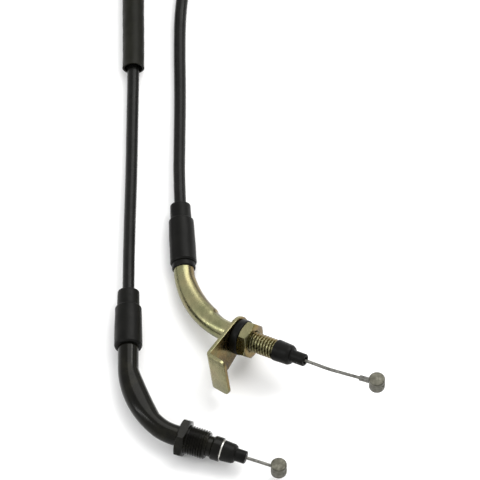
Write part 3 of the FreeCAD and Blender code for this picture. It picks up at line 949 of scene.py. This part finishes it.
def adjuster(joint):
    """The M8 adjuster: flange against the bracket, right-hand thread and the nose in the cap."""
    thread_start, bore = CARB_PLATE + 1.0, LINER_R + 0.05
    thread = thread_shape(M8_R, M8_PITCH, thread_start, CARB_THREAD_END)
    rim = joint + FLANGE_THICK
    rows = [(joint, bore), (joint, FLANGE_R - 0.1), (joint + 0.1, FLANGE_R)]
    rows += [(rim - 0.1, FLANGE_R), (rim, FLANGE_R - 0.1), (rim, M8_R), (thread_start, M8_R)]
    length = CARB_THREAD_END - thread_start
    steps = int(length * 11)
    rows += [(thread_start + length * i / steps, THREAD_BLANK) for i in range(1, steps + 1)]
    radius, reach = NOSE
    end = CARB_THREAD_END + reach
    rows += [(CARB_THREAD_END, radius), (end, radius), (end, bore)]

    def shape(x, r, a):
        return thread(x, r, a) if r == THREAD_BLANK else (x, r)

    piece = turned("adjuster_screw_body", CARB, rows, around=72, shape=shape, sharp=32)
    finished(piece, "cable", "yellow_zinc", "adjuster_screw")


def spacer_and_nut():
    near, far = CARB_PLATE + 0.05, CARB_SPACER_END - 0.05
    bore = M8_R + 0.08
    ring = [(near, bore, 0.2), (near, SPACER_R, 0.55), (far, SPACER_R, 0.55), (far, bore, 0.2)]
    piece = turned("spacer_ring", CARB, rounded(ring), shape=rubber_skin(0.9))
    finished(piece, "spacer", "soft_rubber", "rubber_spacer")

    start, end = CARB_SPACER_END, CARB_NUT_END
    hexagon = hexagon_shape(NUT_FLATS, start, end)
    bore = M8_R + 0.06
    rows = [(start, bore), (start, 5.6)]
    rows += [(start + (end - start) * i / 40, HEX_BLANK) for i in range(41)]
    rows += [(end, 5.6), (end, M8_R + 0.7), (end - 0.7, bore)]

    def shape(x, r, a):
        return hexagon(x, r, a) if r == HEX_BLANK else (x, r)

    piece = turned("lock_nut_body", CARB, rows, around=96, shape=shape, sharp=32)
    finished(piece, "lock_nut", "yellow_zinc", "adjuster_lock_nut")


def carburettor_wire():
    """Straight out of the cap, then turning gently towards its nipple."""
    bend = math.radians(CARB_WIRE_DROOP)
    points = [Vector((CARB_WIRE_START, 0, 0)), Vector((CARB_WIRE_BEND, 0, 0))]
    for i in range(1, 9):
        a = bend * i / 8
        along, aside = CARB_WIRE_BEND_R * math.sin(a), CARB_WIRE_BEND_R * (1 - math.cos(a))
        points.append(Vector((CARB_WIRE_BEND + along, aside, 0)))
    heading = Vector((math.cos(bend), math.sin(bend), 0))
    arc_end = points[-1]
    middle = arc_end + heading * ((CARB_NIPPLE - arc_end.x) / math.cos(bend))
    points.append(middle + heading * (NIPPLE_R - 1.0))
    path = path_along(even([CARB @ p for p in points], 0.25), Vector((0, 0, 1)))
    wire = stranded("carburettor_strands", path)
    finished(wire, "carburettor_wire", "wire_steel", "carburettor_inner_wire")

    start = arc_end + heading * ((CARB_SLEEVE - arc_end.x) / math.cos(bend))
    end = middle - heading * (NIPPLE_R - 0.1)
    path = path_along(even([CARB @ start, CARB @ end], 0.1), Vector((0, 0, 1)))
    length = path[-1][3]

    def section(s, a):
        edge = min(s, length - s)
        dimple = 0.05 * (1 + math.cos(2 * a)) * (1 if 1.2 < s < 3.2 else 0)
        return CRIMP_R - 0.15 * (1 - smooth_step(edge, 0, 0.25)) - dimple

    sleeve = swept("carburettor_crimp", path, section, bore=WIRE_R + 0.01, around=40)
    finished(sleeve, "carburettor_wire", "wire_steel", "carburettor_wire_sleeve")


# ---------------------------------------------------------------- stage, lights and camera
def area_light(name, place, target, size, power, colour):
    data = bpy.data.lights.new(name, "AREA")
    data.shape = "RECTANGLE"
    data.size, data.size_y = size
    data.energy = power
    data.color = colour
    light = bpy.data.objects.new(name, data)
    bpy.context.scene.collection.objects.link(light)
    light.location = place
    light.rotation_euler = (Vector(target) - Vector(place)).to_track_quat("-Z", "Y").to_euler()


def build_stage():
    half = 3.0 / MM
    corners = [(-half, -half, 0), (half, -half, 0), (half, half, 0), (-half, half, 0)]
    floor = mesh_object("floor", corners, [(0, 1, 2, 3)])
    look = Look("floor_paper", (0.93, 0.93, 0.93), 0.8)
    look.link(look.ramp(look.noise(30, 2), (0.3, 0.92), (0.7, 0.94)), "Base Color")
    floor.data.materials.append(look.material)

    world = bpy.data.worlds.new("studio")
    world.use_nodes = True
    sky = world.node_tree.nodes["Background"]
    sky.inputs["Color"].default_value = (1.0, 1.0, 1.0, 1)
    sky.inputs["Strength"].default_value = 1.0
    bpy.context.scene.world = world

    area_light("key", (0.35, 0.6, 1.1), (-0.02, 0.02, 0), (1.0, 1.0), 9.5, (1.0, 0.995, 0.98))
    area_light("side", (-0.8, -0.1, 0.55), (-0.03, 0.03, 0), (0.07, 0.7), 1.8, (0.98, 0.99, 1.0))
    area_light("strip", (0.5, 0.45, 0.85), (-0.02, 0.02, 0), (0.07, 0.6), 1.8, (1.0, 0.99, 0.97))


CAMERA_LENS = 1500.0  # a very long lens, so that the view is nearly parallel
CAMERA_SENSOR = 36.0
VIEW_WIDTH = 0.1846


def build_camera():
    data = bpy.data.cameras.new("camera")
    data.lens = CAMERA_LENS
    data.sensor_width = CAMERA_SENSOR
    data.clip_end = 50
    camera = bpy.data.objects.new("camera", data)
    bpy.context.scene.collection.objects.link(camera)
    target = Vector((-3.1, 48.4, 0)) * MM
    elevation = math.radians(60)
    back = Vector((0, -math.cos(elevation), math.sin(elevation)))
    camera.location = target + back * (VIEW_WIDTH * CAMERA_LENS / CAMERA_SENSOR)
    camera.rotation_euler = (-back).to_track_quat("-Z", "Y").to_euler()
    bpy.context.scene.camera = camera
    bpy.context.scene.view_settings.view_transform = "Standard"


dress_cad_nodes()
build_cord()
handlebar_end()
carburettor_end()
build_stage()
build_camera()
